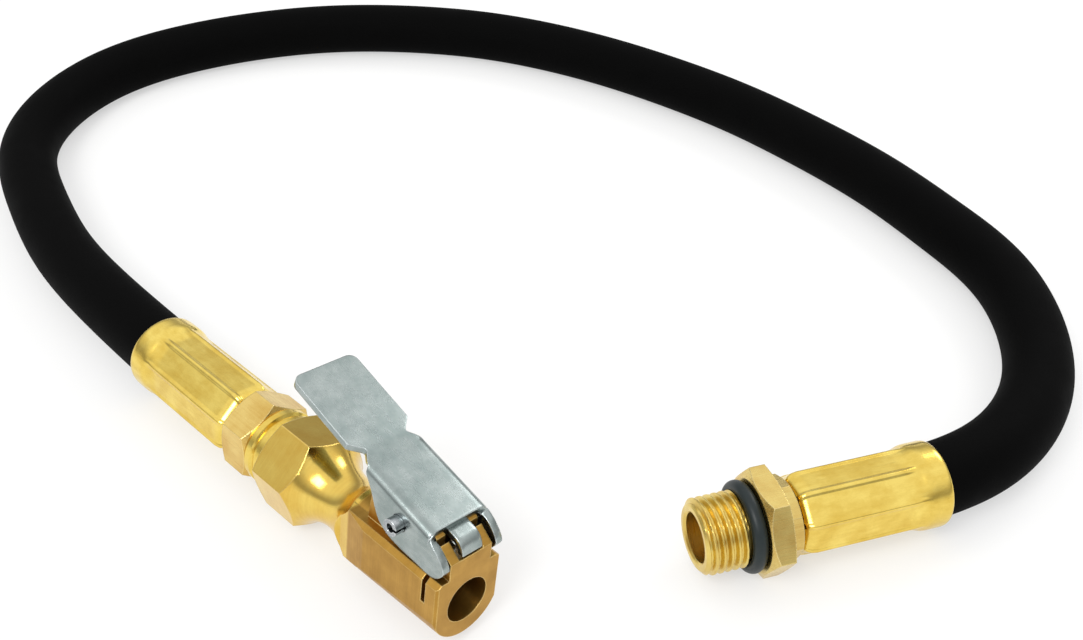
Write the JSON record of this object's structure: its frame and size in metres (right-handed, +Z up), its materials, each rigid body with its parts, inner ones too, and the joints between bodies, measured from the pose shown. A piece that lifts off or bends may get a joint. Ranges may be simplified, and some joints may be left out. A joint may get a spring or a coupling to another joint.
{
  "type": "tyre inflator whip hose",
  "caption": "Short rubber air hose with a threaded brass inlet and a brass clip-on tyre valve chuck whose sprung lever grips the valve.",
  "frame": {"origin": "centre of the inlet thread's inner end, on the thread's axis", "axes": "-X along the inlet thread, out of the hose; +Z up from the surface the hose lies on, which is at z = -8.5 mm; +Y towards the far side of the hose's loop"},
  "size_m": [0.2117, 0.2304, 0.0335],
  "materials": {
    "brass": "satin machined",
    "bright_brass": "polished",
    "zinc": "satin zinc plate",
    "steel": "satin",
    "hose_rubber": "matte",
    "nitrile": "satin",
    "textile": "woven"
  },
  "bodies": {
    "hose_body": {"inlet_fitting": "brass", "inlet_o_ring": "nitrile", "inlet_ferrule": "bright_brass", "hose_cover": "hose_rubber", "hose_braid": "textile", "hose_liner": "nitrile", "chuck_ferrule": "bright_brass", "chuck_tail": "brass", "tail_washer": "bright_brass", "chuck_body": "brass", "valve_seal": "hose_rubber", "poppet_spring": "steel", "lever_spring": "steel", "pivot_pin": "steel"},
    "lever": {"clip_lever": "zinc"},
    "poppet": {"poppet": "steel", "poppet_seal": "nitrile"}
  },
  "joints": [
    {"name": "lever_pivot", "type": "hinge", "parent": "hose_body", "child": "lever", "pos_m": [-0.04997, 0.00778, 0.0125], "axis": [-0.8675, -0.471, 0.1599], "range_deg": [0, 14], "stiffness_Nm_per_rad": 0.4, "springref_deg": -28.65, "deforming": ["lever_spring"]},
    {"name": "poppet_slide", "type": "slide", "parent": "hose_body", "child": "poppet", "axis": [-0.4772, 0.8788, 0], "range_m": [0, 0.0016], "stiffness_N_per_m": 800, "springref_m": -0.002, "deforming": ["poppet_spring"]}
  ]
}
